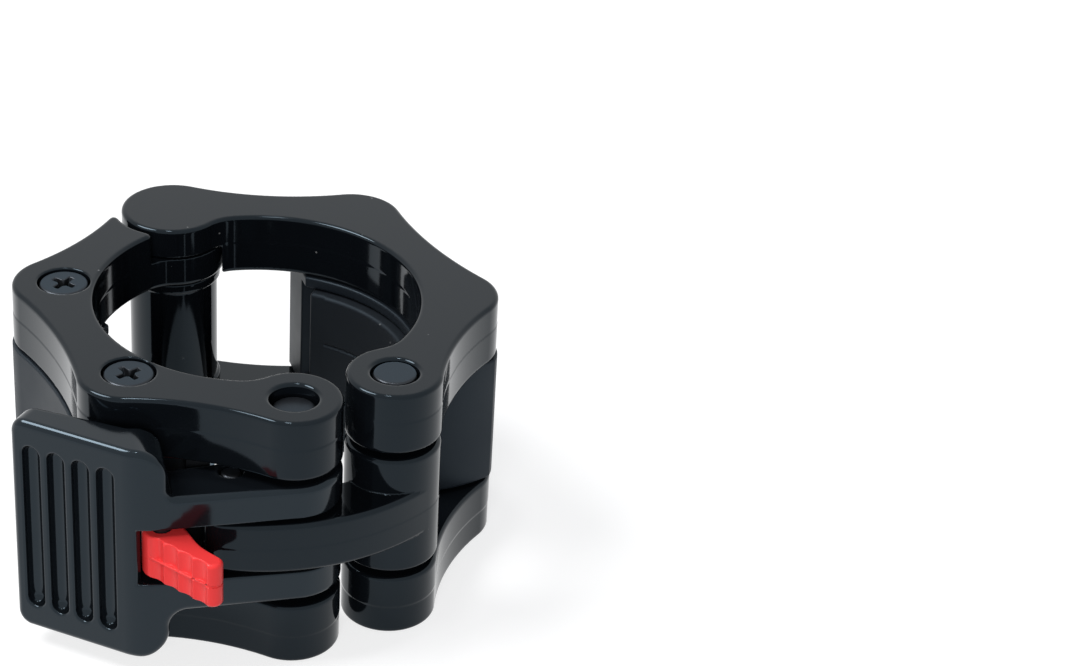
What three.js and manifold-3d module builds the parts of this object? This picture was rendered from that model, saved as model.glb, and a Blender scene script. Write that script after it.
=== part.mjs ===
// A hinged clamp collar for a 50 mm bar sleeve. Two half frames turn on a hinge pin and close round a bar.
// A lever on the first half pulls the second half shut through a curved link that passes its dead centre.
// Millimetres, +Z up. The origin is on the bar's axis, in the lower face. The hinge lies towards -X, and
// the lever and link pins towards +X. The first half lies at -Y and the second at +Y.
import * as THREE from 'three';
import { mergeVertices } from 'three/addons/utils/BufferGeometryUtils.js';
import Module from 'manifold-3d';

const wasm = await Module();
wasm.setup();

// Bar and frame
const barRadius = 25;
const barClearance = 0.15;
const boreRadius = 27.3;
const bodyHeight = 46.5;
const plateThickness = 11;
const edgeRound = 0.7;
const gap = 0.3;
const overrun = 4;

// Hinge
const knuckleRadius = 9.05;
const hingePinRadius = 3.2;
const capThickness = 5.5;
const capWall = 2.4;
const tipClearance = 1.05;
const earClearance = 0.6;
const spacerRadius = 8.3;
const spacerWaist = 0.5;

// Lever pin and link pin
const pinKnuckleRadius = 8;
const pinHalfGap = 1.1;
const pinRadius = 3.6;
const leverPinSetBack = 2;
const linkPinSetBack = 0.2;
const pinChamfer = 0.6;

// Screw lobes of a half, from its hinge end to its pin end
const rearLobeBack = 18;
const rearLobeOut = 27.4;
const rearLobeRadius = 8.7;
const frontLobeAhead = 13.4;
const frontLobeOut = 29.4;
const frontLobeRadius = 8.5;
const hingeWaistRadius = 47;
const backWaistRadius = 70;
const pinWaistRadius = 45;
const boreFilletRadius = 7;

// Screws and inserts
const screwHeadRadius = 4.1;
const screwHeadHeight = 3.1;
const screwRadius = 2;
const screwSetBack = 0.3;
const crossLength = 4.6;
const crossWidth = 1.1;
const crossDepth = 1.7;
const crossTurn = 20;
const insertRadius = 3.3;
const insertLength = 6;

// Middle band and the grip pad
const bandInset = 0.25;
const bandProud = 0.5;
const padHalfSpan = 43;
const padSpread = 9;
const padThickness = 3.6;
const padEdge = 2.3;
const padSeamDepth = 0.35;
const padSeamWidth = 0.6;
const bandRearBack = 29.6;
const bandRearOut = 21;

// Lever: its arms, thumb pad and neck
const armSetIn = 1.3;
const armRound = 1.3;
const eyeRadius = 8;
const eyeEndAngle = 215;
const linkPivotReach = 10.3;
const linkPivotAngle = -101.5;
const linkPivotPinRadius = 1.65;
const linkPivotPinSetBack = 0.35;
const armPivotWall = 1.7;
const armInnerReach = 4.6;
const thumbLength = 23.5;
const thumbAngle = 35.9;
const thumbBendBack = 0.36;
const thumbBendDown = 27.4;
const tipThickness = 4.9;
const tipRound = 2.2;
const heelThickness = 6.8;
const heelBack = 5.2;
const heelRound = 1.4;
const neckBendRadius = 8;
const thumbHeight = 39.8;
const thumbRound = 1.2;
const thumbTipCornerRound = 3.2;
const neckCornerRound = 5.2;
const neckRootRound = 1.5;
const thumbWall = 2.8;
const thumbRib = 1.9;
const grooveCount = 4;
const grooveFirst = 4.4;
const groovePitch = 4.5;
const grooveWidth = 3.6;
const grooveHeight = 30.9;
const grooveDepth = 1.5;

// Link
const linkStrapHeight = 9.1;
const linkStrapOuterRadius = 37;
const linkStrapClearance = 0.6;
const linkEndRadius = 4.9;
const linkEndAhead = 1.2;
const linkEndDown = 0.7;
const linkSlotLength = 2.1;
const linkSlotAngle = -59;
const linkSlotClearance = 0.45;

// Latch, its pin and spring, and the toothed catch
const latchHeight = 8.1;
const latchSlotHeight = 10.3;
const latchSlotBack = 0.2;
const latchPivotBack = 1.5;
const latchPivotDown = 22.5;
const latchPinRadius = 1.5;
const latchPinSeat = 2.6;
const latchHubRadius = 3.1;
const latchArmWidth = 3;
const latchNoseReach = 17.55;
const latchNoseAngle = -118;
const latchNoseLength = 2.6;
const latchNoseTravel = 1.5;
const tabFaceStart = 1.4;
const tabFaceDrop = 2.8;
const tabFaceReach = 12.6;
const tabFaceRise = 2;
const tabNoseReach = 13.7;
const tabNoseLow = 2.2;
const tabNoseHigh = 5.3;
const tabNoseRound = 1.3;
const scallopCount = 4;
const scallopDepth = 0.45;
const springWire = 0.5;
const springRadius = 2.3;
const springTurns = 3;
const springPitch = 0.95;
const catchTipReach = 17.2;
const catchToothDepth = 0.7;
const catchToothPitch = 4.4;
const catchToothCount = 4;
const catchBack = 3.2;
const catchStart = -116.4;
const catchPostRadius = 1.2;
const catchPostLength = 2.2;

// Shares of the sizes above, and the distance within which two corners of a mesh are one
const catchLandShare = 0.9;
const weldTolerance = 1e-4;

// How finely rounds are drawn: the most radians between two corners of an arc, and the sides of rods
const fineStep = 0.135;
const roundStep = 0.26;
const wideSides = 44;
const pinSides = 26;
const smallSides = 20;

const rad = THREE.MathUtils.degToRad;
const polar = (reach, degrees) => [reach * Math.cos(rad(degrees)), reach * Math.sin(rad(degrees))];
const plus = (a, b) => [a[0] + b[0], a[1] + b[1]];

// Places that follow from the sizes above
const midHeight = bodyHeight / 2;
const upperPlateBase = bodyHeight - plateThickness;
const hinge = [-(barRadius + barClearance + knuckleRadius), 0];
const pinReach = barRadius + barClearance + pinKnuckleRadius;
const pinY = pinKnuckleRadius + pinHalfGap;
const leverPin = [Math.sqrt(pinReach ** 2 - pinY ** 2), -pinY];
const linkPin = [leverPin[0], pinY];
const rearLobe = [-rearLobeBack, -rearLobeOut];
const frontLobe = [frontLobeAhead, -frontLobeOut];
const linkPivot = plus(leverPin, polar(linkPivotReach, linkPivotAngle));
const thumbBend = [leverPin[0] - thumbBendBack, leverPin[1] - thumbBendDown];
const latchPivot = [leverPin[0] - latchPivotBack, leverPin[1] - latchPivotDown];
const catchRoot = catchTipReach - catchToothDepth;
const catchEnd = catchStart - catchToothCount * catchToothPitch;
const catchMiddle = plus(leverPin, polar(catchRoot - catchBack / 2, (catchStart + catchEnd) / 2));
const slotLow = midHeight - latchSlotHeight / 2;
const slotHigh = midHeight + latchSlotHeight / 2;
const latchNose = {
  tip: plus(leverPin, polar(latchNoseReach, latchNoseAngle)),
  root: plus(leverPin, polar(latchNoseReach + latchNoseLength, latchNoseAngle)),
  relief: latchArmWidth / 2 + latchNoseTravel + 2 * gap,
};
const grip = { inner: barRadius + barClearance * 2, outer: barRadius + barClearance * 2 + padThickness };

// Materials
const plastic = (color, roughness) => new THREE.MeshStandardMaterial({ color, roughness, metalness: 0 });
const glossBlack = plastic(0x24262a, 0.32);
const mattBlack = plastic(0x2b2d30, 0.62);
const padBlack = plastic(0x25272a, 0.75);
const red = plastic(0xd8202c, 0.35);
const darkSteel = new THREE.MeshStandardMaterial({ color: 0x303236, roughness: 0.35, metalness: 0.6 });
const brass = new THREE.MeshStandardMaterial({ color: 0xb08d4a, roughness: 0.4, metalness: 0.9 });

// Outlines are lists of points. An arc runs from one angle to another about a centre, both in radians.
function arc(centre, radius, from, to, step = roundStep) {
  const count = Math.max(2, Math.ceil(Math.abs(to - from) / step));
  const points = [];
  for (let i = 0; i <= count; i++) {
    const angle = from + ((to - from) * i) / count;
    points.push([centre[0] + radius * Math.cos(angle), centre[1] + radius * Math.sin(angle)]);
  }
  return points;
}

function circle(centre, radius, count) {
  return arc(centre, radius, 0, 2 * Math.PI * (1 - 1 / count), (2 * Math.PI) / count);
}

const angleTo = (from, to) => Math.atan2(to[1] - from[1], to[0] - from[0]);

// The point at two given distances from two centres, on the right of the way from the first to the second
function rightOf(a, reachA, b, reachB) {
  const span = Math.hypot(b[0] - a[0], b[1] - a[1]);
  const along = (span ** 2 + reachA ** 2 - reachB ** 2) / (2 * span);
  const across = Math.sqrt(reachA ** 2 - along ** 2);
  const ux = (b[0] - a[0]) / span;
  const uy = (b[1] - a[1]) / span;
  return [a[0] + ux * along + uy * across, a[1] + uy * along - ux * across];
}

const turnUp = (from, to) => (to < from ? to + 2 * Math.PI : to);
const turnDown = (from, to) => (to > from ? to - 2 * Math.PI : to);

// Outline of the first half: four round ends joined by hollow arcs outside, and the bore inside. The inset
// moves the whole outline inwards, and the lobes can stand proud of it.
function halfOutline({ inset = 0, proud = 0, bore = boreRadius } = {}) {
  const rounds = [
    { at: hinge, r: knuckleRadius - inset },
    { at: rearLobe, r: rearLobeRadius - inset + proud },
    { at: frontLobe, r: frontLobeRadius - inset + proud },
    { at: leverPin, r: pinKnuckleRadius - inset },
  ];
  const waists = [hingeWaistRadius, backWaistRadius, pinWaistRadius].map((r) => r + inset);
  const waistCentres = waists.map((r, i) => {
    const [a, b] = [rounds[i], rounds[i + 1]];
    return rightOf(a.at, a.r + r, b.at, b.r + r);
  });
  const last = rounds[3];
  const fillet = boreFilletRadius;
  const toPin = rightOf([0, 0], bore - fillet, last.at, last.r + fillet);
  const mirrored = rightOf([0, 0], bore - fillet, [rounds[0].at[0], 0], rounds[0].r + fillet);
  const toHinge = [mirrored[0], -Math.abs(mirrored[1])];
  const points = [];
  let start = angleTo(rounds[0].at, toHinge);
  rounds.forEach((round, i) => {
    const next = i < 3 ? waistCentres[i] : toPin;
    const end = turnUp(start, angleTo(round.at, next));
    points.push(...arc(round.at, round.r, start, end));
    if (i < 3) {
      const from = angleTo(next, round.at);
      const to = angleTo(next, rounds[i + 1].at);
      points.push(...arc(next, waists[i], from, turnDown(from, to), fineStep).slice(1, -1));
      start = angleTo(rounds[i + 1].at, next);
    }
  });
  const leave = angleTo(toPin, last.at);
  points.push(...arc(toPin, fillet, leave, turnDown(leave, angleTo([0, 0], toPin))).slice(1, -1));
  const boreFrom = angleTo([0, 0], toPin);
  const boreTo = turnDown(boreFrom, angleTo([0, 0], toHinge));
  points.push(...arc([0, 0], bore, boreFrom, boreTo, fineStep));
  const reach = angleTo([0, 0], toHinge);
  const arrive = turnDown(reach, angleTo(toHinge, rounds[0].at));
  points.push(...arc(toHinge, fillet, reach, arrive).slice(1, -1));
  return points;
}

function shapeOf(points) {
  return new THREE.Shape(points.map(([x, y]) => new THREE.Vector2(x, y)));
}

// A straight solid over an outline between two heights, with rounded edges when asked
function prism(points, low, high, round = 0, steps = 2) {
  const options = { depth: high - low - 2 * round, bevelEnabled: false };
  if (round > 0) {
    Object.assign(options, { bevelEnabled: true, bevelThickness: round, bevelSize: round });
    Object.assign(options, { bevelOffset: -round, bevelSegments: steps });
  }
  return new THREE.ExtrudeGeometry(shapeOf(points), options).translate(0, 0, low + round);
}

// A round solid from a profile of radius and height, which starts and ends on the axis
function turned(centre, profile, segments = pinSides) {
  const line = profile.map(([r, z]) => new THREE.Vector2(r, z));
  return new THREE.LatheGeometry(line, segments).rotateX(Math.PI / 2).translate(centre[0], centre[1], 0);
}

function rod(centre, radius, low, high, chamfer = 0, segments = pinSides) {
  const bevelled = [[0, low], [radius - chamfer, low], [radius, low + chamfer],
    [radius, high - chamfer], [radius - chamfer, high], [0, high]];
  const profile = chamfer > 0 ? bevelled : [[0, low], [radius, low], [radius, high], [0, high]];
  return turned(centre, profile, segments);
}

// Solids for cutting and joining
function solid(geometry) {
  const bare = geometry.clone();
  bare.deleteAttribute('normal');
  bare.deleteAttribute('uv');
  const merged = mergeVertices(bare, weldTolerance);
  return new wasm.Manifold(new wasm.Mesh({
    numProp: 3,
    vertProperties: new Float32Array(merged.attributes.position.array),
    triVerts: new Uint32Array(merged.index.array),
  }));
}

function geometryOf(body) {
  const { vertProperties, triVerts } = body.getMesh();
  const geometry = new THREE.BufferGeometry();
  geometry.setAttribute('position', new THREE.BufferAttribute(new Float32Array(vertProperties), 3));
  geometry.setIndex(new THREE.BufferAttribute(new Uint32Array(triVerts), 1));
  return geometry.toNonIndexed();
}

const collar = new THREE.Group();
const secondHalf = new THREE.Group();
secondHalf.rotation.x = Math.PI;
secondHalf.position.z = bodyHeight;
collar.add(secondHalf);

function addNode(name, body, material, parent = collar) {
  const geometry = body.isBufferGeometry ? body : geometryOf(body);
  geometry.computeVertexNormals();
  const mesh = new THREE.Mesh(geometry, material);
  mesh.name = name;
  parent.add(mesh);
}

// Side plates. Both share one outline. The screwed plate ends in an ear under the other half's knuckle.
const plateOutline = halfOutline();
const capTop = bodyHeight - capThickness;
const bandLow = plateThickness + gap;
const bandHigh = upperPlateBase - gap;
const catchSocket = solid(rod(catchMiddle, catchPostRadius + gap, bandLow - catchPostLength - gap,
  bandHigh + catchPostLength + gap, 0, smallSides));

function screwedPlate() {
  let body = solid(prism(plateOutline, upperPlateBase, bodyHeight, edgeRound));
  const overCap = rod(hinge, knuckleRadius + tipClearance, capTop, bodyHeight + overrun, 0, wideSides);
  body = body.subtract(solid(overCap));
  body = body.subtract(solid(rod(hinge, hingePinRadius + gap, upperPlateBase - overrun, bodyHeight)));
  const pinBore = rod(leverPin, pinRadius + gap, upperPlateBase - overrun, bodyHeight + overrun);
  body = body.subtract(solid(pinBore));
  const seat = bodyHeight - screwSetBack - screwHeadHeight - gap;
  for (const lobe of [rearLobe, frontLobe]) {
    body = body.subtract(solid(rod(lobe, screwHeadRadius + gap, seat, bodyHeight + overrun)));
    const shank = rod(lobe, screwRadius + gap, upperPlateBase - overrun, bodyHeight, 0, smallSides);
    body = body.subtract(solid(shank));
  }
  return body.subtract(catchSocket);
}

function blankPlate() {
  let body = solid(prism(plateOutline, 0, plateThickness, edgeRound));
  const over = plateThickness + overrun;
  const underEar = rod(hinge, knuckleRadius + earClearance, capThickness, over, 0, wideSides);
  body = body.subtract(solid(underEar));
  body = body.subtract(solid(rod(hinge, hingePinRadius + gap, capWall, over)));
  body = body.subtract(solid(rod(leverPin, pinRadius + gap, -overrun, over)));
  const floor = plateThickness - insertLength - 2 * gap;
  for (const lobe of [rearLobe, frontLobe]) {
    body = body.subtract(solid(rod(lobe, insertRadius + gap, floor, over)));
  }
  return body.subtract(catchSocket);
}

// Middle band, with a recess for the grip pad. It ends in a round boss about the screw next to its pin.
const padAngles = [-90 - padHalfSpan, -90 + padHalfSpan];

function gripSector(inner, outer, low, high, spread = 0) {
  const from = rad(padAngles[0] - spread);
  const to = rad(padAngles[1] + spread);
  const sector = [...arc([0, 0], outer, from, to, fineStep), ...arc([0, 0], inner, to, from, fineStep)];
  return prism(sector, low, high);
}

// Where a line from a point touches a round, on the right of the way to its centre
function touchRight(from, centre, radius) {
  const reach = Math.hypot(centre[0] - from[0], centre[1] - from[1]);
  const side = angleTo(from, centre) + Math.asin(radius / reach);
  const length = Math.sqrt(reach ** 2 - radius ** 2);
  return [from[0] + length * Math.cos(side), from[1] + length * Math.sin(side)];
}

function band(clearsLatch) {
  const outline = halfOutline({ inset: bandInset, proud: bandProud, bore: boreRadius - bandInset });
  const whole = solid(prism(outline, bandLow, bandHigh));
  const far = 3 * barRadius;
  const rear = [-bandRearBack, -bandRearOut];
  const rearInner = polar(grip.inner, padAngles[0]);
  const frontInner = polar(grip.inner, padAngles[1]);
  const past = (a, b) => plus(a, polar(far, THREE.MathUtils.radToDeg(angleTo(a, b))));
  const bossRadius = frontLobeRadius - bandInset + bandProud;
  const touch = touchRight(frontInner, frontLobe, bossRadius);
  const waist = rightOf(frontLobe, bossRadius + pinWaistRadius + bandInset,
    leverPin, pinKnuckleRadius + pinWaistRadius);
  const boss = arc(frontLobe, bossRadius, angleTo(frontLobe, waist), angleTo(frontLobe, touch));
  const window = [rearInner, past(rearInner, rear), [-far, -2 * far], [far, -2 * far],
    past(frontLobe, boss[0]), ...boss, frontInner];
  let body = whole.intersect(solid(prism(window, 0, bodyHeight)));
  const recess = gripSector(grip.inner - overrun, grip.outer + gap, bandLow + padEdge - gap,
    bandHigh - padEdge + gap, padSpread);
  body = body.subtract(solid(recess));
  for (const lobe of [rearLobe, frontLobe]) {
    body = body.subtract(solid(rod(lobe, screwRadius + gap, 0, bodyHeight, 0, smallSides)));
  }
  if (!clearsLatch) return body;
  const relief = rod(latchNose.root, latchNose.relief, slotLow, slotHigh);
  return body.subtract(solid(relief));
}

function gripPad() {
  let body = solid(gripSector(grip.inner, grip.outer, bandLow + padEdge, bandHigh - padEdge));
  const seam = gripSector(grip.inner - overrun, grip.inner + padSeamDepth,
    midHeight - padSeamWidth / 2, midHeight + padSeamWidth / 2, padSpread);
  return body.subtract(solid(seam));
}

// Fasteners
function screw(at) {
  const top = bodyHeight - screwSetBack;
  const neck = top - screwHeadHeight;
  const foot = plateThickness - insertLength;
  let body = solid(turned(at, [[0, foot], [screwRadius, foot], [screwRadius, neck], [screwHeadRadius, neck],
    [screwHeadRadius, top - edgeRound / 2], [screwHeadRadius - edgeRound / 2, top], [0, top]]));
  for (const turn of [0, Math.PI / 2]) {
    const slot = new THREE.BoxGeometry(crossLength, crossWidth, 2 * crossDepth).rotateZ(turn + rad(crossTurn));
    body = body.subtract(solid(slot.translate(at[0], at[1], top)));
  }
  return body;
}

function insert(at) {
  const high = plateThickness - gap;
  const outside = solid(rod(at, insertRadius, high - insertLength, high));
  return outside.subtract(solid(rod(at, screwRadius + gap, 0, bodyHeight, 0, smallSides)));
}

for (const [letter, parent] of [['a', collar], ['b', secondHalf]]) {
  const first = letter === 'a';
  addNode(`side_plate_${letter}_${first ? 'top' : 'bottom'}`, screwedPlate(), glossBlack, parent);
  addNode(`side_plate_${letter}_${first ? 'bottom' : 'top'}`, blankPlate(), glossBlack, parent);
  addNode(`middle_band_${letter}`, band(first), mattBlack, parent);
  addNode(`grip_pad_${letter}`, gripPad(), padBlack, parent);
  [rearLobe, frontLobe].forEach((lobe, i) => {
    addNode(`screw_${letter}${i + 1}`, screw(lobe), darkSteel, parent);
    addNode(`insert_${letter}${i + 1}`, insert(lobe), brass, parent);
  });
}

// Hinge pin and its spacer
const hingePinLow = capWall + gap;
const hingePinHigh = bodyHeight - hingePinLow;
addNode('hinge_pin', rod(hinge, hingePinRadius, hingePinLow, hingePinHigh, pinChamfer), darkSteel);
const spacerLow = plateThickness + gap;
const spacerHigh = upperPlateBase - gap;
const spacerOuter = solid(turned(hinge, [[0, spacerLow], [spacerRadius, spacerLow],
  [spacerRadius - spacerWaist, midHeight], [spacerRadius, spacerHigh], [0, spacerHigh]], wideSides));
const spacerBore = solid(rod(hinge, hingePinRadius + gap, 0, bodyHeight));
addNode('hinge_spacer', spacerOuter.subtract(spacerBore), glossBlack);

// Lever pin and link pin
const crossPin = (at, setBack) => rod(at, pinRadius, setBack, bodyHeight - setBack, pinChamfer);
addNode('lever_pin', crossPin(leverPin, leverPinSetBack), darkSteel);
addNode('link_pin', crossPin(linkPin, linkPinSetBack), darkSteel);

// Link: eye barrel, strap round the outside of the lever pin, and a slotted end on the lever's small pin
const barrelLow = plateThickness + armSetIn;
const barrelHigh = upperPlateBase - armSetIn;

function makeLink() {
  const low = midHeight - linkStrapHeight / 2;
  const high = midHeight + linkStrapHeight / 2;
  let body = solid(rod(linkPin, pinKnuckleRadius, barrelLow, barrelHigh, edgeRound, wideSides));
  const outer = linkStrapOuterRadius;
  const end = plus(linkPivot, [linkEndAhead, -linkEndDown]);
  const centre = rightOf(linkPin, outer - pinKnuckleRadius, end, outer - linkEndRadius);
  const inner = pinRadius + linkStrapClearance;
  const toBarrel = angleTo(centre, linkPin);
  const toEnd = angleTo(centre, end);
  const outside = arc(centre, outer, toEnd, toBarrel, fineStep / 2);
  const inside = arc(leverPin, inner, rad(90), rad(-45));
  const strap = [...outside, linkPin, ...inside, end];
  body = body.add(solid(prism(strap, low, high)));
  body = body.add(solid(rod(end, linkEndRadius, low, high, 0, wideSides)));
  body = body.subtract(solid(rod(linkPin, pinRadius + gap, 0, bodyHeight)));
  body = body.subtract(solid(rod(leverPin, inner, 0, bodyHeight)));
  const slotEnd = plus(linkPivot, polar(linkSlotLength, linkSlotAngle));
  const slotRadius = linkPivotPinRadius + linkSlotClearance;
  const across = (at, sign) => plus(at, polar(slotRadius, linkSlotAngle + sign * 90));
  const channel = [across(linkPivot, -1), across(slotEnd, -1), across(slotEnd, 1), across(linkPivot, 1)];
  body = body.subtract(solid(prism(channel, 0, bodyHeight)));
  for (const at of [linkPivot, slotEnd]) {
    body = body.subtract(solid(rod(at, slotRadius, 0, bodyHeight)));
  }
  return body;
}
addNode('link', makeLink(), glossBlack);

// Lever. Places on the thumb pad are given along its outer face from the tip, and inwards from that face.
const thumbTip = plus(thumbBend, polar(-thumbLength, thumbAngle));
const onThumb = (along, inwards) =>
  plus(plus(thumbTip, polar(along, thumbAngle)), polar(inwards, thumbAngle + 90));
const armLow = barrelLow;
const armHigh = barrelHigh;

function roundedCorner(before, corner, after, radius) {
  const a = angleTo(corner, before);
  const b = angleTo(corner, after);
  let half = (b - a) / 2;
  if (half > Math.PI / 2) half -= Math.PI;
  if (half < -Math.PI / 2) half += Math.PI;
  const reach = radius / Math.sin(Math.abs(half));
  const centre = [corner[0] + reach * Math.cos(a + half), corner[1] + reach * Math.sin(a + half)];
  const trim = radius / Math.tan(Math.abs(half));
  const from = [corner[0] + trim * Math.cos(a), corner[1] + trim * Math.sin(a)];
  const to = [corner[0] + trim * Math.cos(b), corner[1] + trim * Math.sin(b)];
  let start = angleTo(centre, from);
  let end = angleTo(centre, to);
  if (end - start > Math.PI) end -= 2 * Math.PI;
  if (end - start < -Math.PI) end += 2 * Math.PI;
  return arc(centre, radius, start, end);
}

// An outline whose corners, given as a place and a radius, are rounded off
function roundedOutline(corners) {
  const points = [];
  corners.forEach(([at, radius], i) => {
    const before = corners[(i + corners.length - 1) % corners.length][0];
    const after = corners[(i + 1) % corners.length][0];
    if (radius > 0) points.push(...roundedCorner(before, at, after, radius));
    else points.push(at);
  });
  return points;
}

// A solid over an outline whose first coordinate runs level along a direction and whose second is height
function upright(points, origin, degrees, near, far) {
  const body = prism(points, near, far).rotateX(Math.PI / 2).rotateZ(rad(degrees));
  return body.translate(origin[0], origin[1], 0);
}

function makeLever() {
  const heelAlong = thumbLength - heelBack;
  const tipInner = onThumb(0, tipThickness);
  const heel = onThumb(heelAlong, heelThickness);
  const toPin = Math.hypot(leverPin[0] - thumbBend[0], leverPin[1] - thumbBend[1]);
  const neckTurn = angleTo(thumbBend, leverPin) - Math.asin(eyeRadius / toPin);
  const neckAngle = THREE.MathUtils.radToDeg(neckTurn);
  const armOuter = plus(leverPin, polar(eyeRadius, neckAngle - 90));
  const waistInner = plus(linkPivot, polar(linkPivotPinRadius + armPivotWall, 180));
  const neckBack = plus(heel, polar(armInnerReach, neckAngle));
  const thumbLow = midHeight - thumbHeight / 2;
  const thumbTop = midHeight + thumbHeight / 2;
  const far = 3 * thumbLength;

  // The whole lever seen from above. Its arms are lower than its thumb pad.
  const eye = arc(leverPin, eyeRadius, neckTurn - Math.PI / 2, rad(eyeEndAngle));
  const tip = [[tipInner, tipRound], [onThumb(0, 0), tipRound]];
  const outside = roundedOutline([[heel, heelRound], ...tip, [thumbBend, neckBendRadius], [armOuter, 0]]);
  const outline = [...outside.slice(0, -1), ...eye, waistInner, neckBack];
  const thumb = solid(prism(outline, thumbLow, thumbTop, thumbRound));
  const front = roundedOutline([
    [[0, thumbLow], thumbTipCornerRound], [[far, thumbLow], 0], [[far, thumbTop], 0],
    [[0, thumbTop], thumbTipCornerRound],
  ]);
  const corner = neckCornerRound;
  const root = neckRootRound;
  const lower = [
    ...arc([0, thumbLow + corner], corner, -Math.PI / 2, 0),
    ...arc([corner + root, armLow - root], root, Math.PI, Math.PI / 2),
  ];
  const upper = lower.map(([s, z]) => [s, bodyHeight - z]).reverse();
  const side = [[-far, -overrun], [0, -overrun], ...lower, ...upper,
    [0, bodyHeight + overrun], [-far, bodyHeight + overrun]];
  const neckSide = upright(side, thumbBend, neckAngle, -far, far);
  let body = thumb.intersect(solid(upright(front, thumbTip, thumbAngle, -far, far)));
  body = body.intersect(solid(neckSide));
  const armStart = [onThumb(heelAlong / 2, heelThickness / 2), onThumb(heelAlong / 2, 0)];
  const neckOutside = roundedCorner(thumbTip, thumbBend, armOuter, neckBendRadius);
  const arms = [heel, ...armStart, ...neckOutside, ...eye, waistInner, neckBack];
  body = body.add(solid(prism(arms, armLow, armHigh, armRound)));

  // The latch's slot through the neck, and the hollows that keep the wall of the thumb pad even
  const slotEdge = onThumb(thumbLength, -overrun);
  const slotBack = onThumb(thumbLength - latchSlotBack, heelThickness / 2);
  const clearSide = [
    slotEdge, plus(slotEdge, [far, 0]), plus(slotEdge, [far, far]), plus(slotEdge, [-far, far]),
    onThumb(heelAlong / 2, 2 * heelThickness), onThumb(heelAlong / 2, thumbWall),
    onThumb(thumbLength - overrun, thumbWall), slotBack,
  ];
  body = body.subtract(solid(prism(clearSide, slotLow, slotHigh)));
  body = body.subtract(solid(rod(latchPivot, latchHubRadius + 2 * gap, slotLow, slotHigh)));
  const bay = [onThumb(tipRound * 2, thumbWall), onThumb(thumbLength - overrun, thumbWall),
    onThumb(heelAlong - thumbWall, 2 * heelThickness), onThumb(tipRound * 2, 2 * heelThickness)];
  for (const [low, high] of [[thumbLow + thumbWall, slotLow - thumbRib], [slotLow, slotHigh],
    [slotHigh + thumbRib, thumbTop - thumbWall]]) {
    body = body.subtract(solid(prism(bay, low, high)));
  }

  // Scooped grooves with round ends. The radius of a scoop follows from its width and depth.
  const scoop = ((grooveWidth / 2) ** 2 + grooveDepth ** 2) / (2 * grooveDepth);
  for (let i = 0; i < grooveCount; i++) {
    const at = onThumb(grooveFirst + i * groovePitch, grooveDepth - scoop);
    const groove = new THREE.CapsuleGeometry(scoop, grooveHeight - 2 * scoop, 3, 12).rotateX(Math.PI / 2);
    groove.rotateZ(rad(thumbAngle)).translate(at[0], at[1], midHeight);
    body = body.subtract(solid(groove));
  }
  body = body.subtract(solid(rod(leverPin, pinRadius + gap, 0, bodyHeight)));
  body = body.subtract(solid(rod(linkPivot, linkPivotPinRadius + gap, 0, bodyHeight, 0, smallSides)));
  const latchBore = rod(latchPivot, latchPinRadius + gap, slotLow - latchPinSeat - gap,
    slotHigh + latchPinSeat + gap, 0, smallSides);
  return body.subtract(solid(latchBore));
}
addNode('lever', makeLever(), glossBlack);
addNode('lever_link_pin', rod(linkPivot, linkPivotPinRadius, armLow + linkPivotPinSetBack,
  armHigh - linkPivotPinSetBack, pinChamfer / 2, smallSides), darkSteel);
addNode('latch_pin', rod(latchPivot, latchPinRadius, slotLow - latchPinSeat, slotHigh + latchPinSeat,
  pinChamfer / 2, smallSides), darkSteel);

// Latch: hub on its pin, nose over the catch, and a scalloped tab that a thumb pushes to the lever pin
function makeLatch() {
  const low = midHeight - latchHeight / 2;
  const high = midHeight + latchHeight / 2;
  const hubLow = low + springTurns * springPitch + springWire;
  const half = latchArmWidth / 2;
  const { tip, root } = latchNose;
  const armTurn = THREE.MathUtils.radToDeg(angleTo(latchPivot, root));
  const armLength = Math.hypot(root[0] - latchPivot[0], root[1] - latchPivot[1]);
  const sideStart = plus(latchPivot, polar(half, armTurn - 90));
  const sideEnd = plus(sideStart, polar(armLength - latchArmWidth, armTurn));
  const farSide = [root, latchPivot].map((at) => plus(at, polar(half, armTurn + 90)));
  const arm = [sideStart, sideEnd, tip, plus(root, polar(half, armTurn)), ...farSide];
  let body = solid(rod(latchPivot, latchHubRadius, hubLow, high));
  body = body.add(solid(prism(arm, hubLow, high)));

  // The face that the thumb pushes is a row of shallow hollows between ridges, and leans with its reach
  const run = [tabFaceReach - tabFaceStart, tabFaceRise + tabFaceDrop];
  const slope = Math.atan2(run[1], run[0]);
  const steps = 4 * scallopCount;
  const face = [];
  for (let i = 0; i <= steps; i++) {
    const dip = Math.abs(Math.sin((i / steps) * scallopCount * Math.PI)) * scallopDepth;
    const along = [tabFaceStart + (run[0] * i) / steps, (run[1] * i) / steps - tabFaceDrop];
    face.push([plus(latchPivot, plus(along, [-dip * Math.sin(slope), dip * Math.cos(slope)])), 0]);
  }
  const nose = [[tabNoseReach, tabNoseLow], [tabNoseReach, tabNoseHigh]];
  const ends = nose.map((at) => [plus(latchPivot, at), tabNoseRound]);
  const hubTop = plus(latchPivot, [0, latchHubRadius - edgeRound / 2]);
  const hubBase = plus(latchPivot, [0, edgeRound / 2 - latchHubRadius]);
  const tab = roundedOutline([[hubBase, 0], ...face, ...ends, [hubTop, 0]]);
  const keep = solid(rod(latchPivot, latchHubRadius + gap, low - overrun, hubLow));
  body = body.add(solid(prism(tab, low, high)).subtract(keep));
  return body.subtract(solid(rod(latchPivot, latchPinRadius + gap, 0, bodyHeight, 0, smallSides)));
}
addNode('latch', makeLatch(), red);

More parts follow.
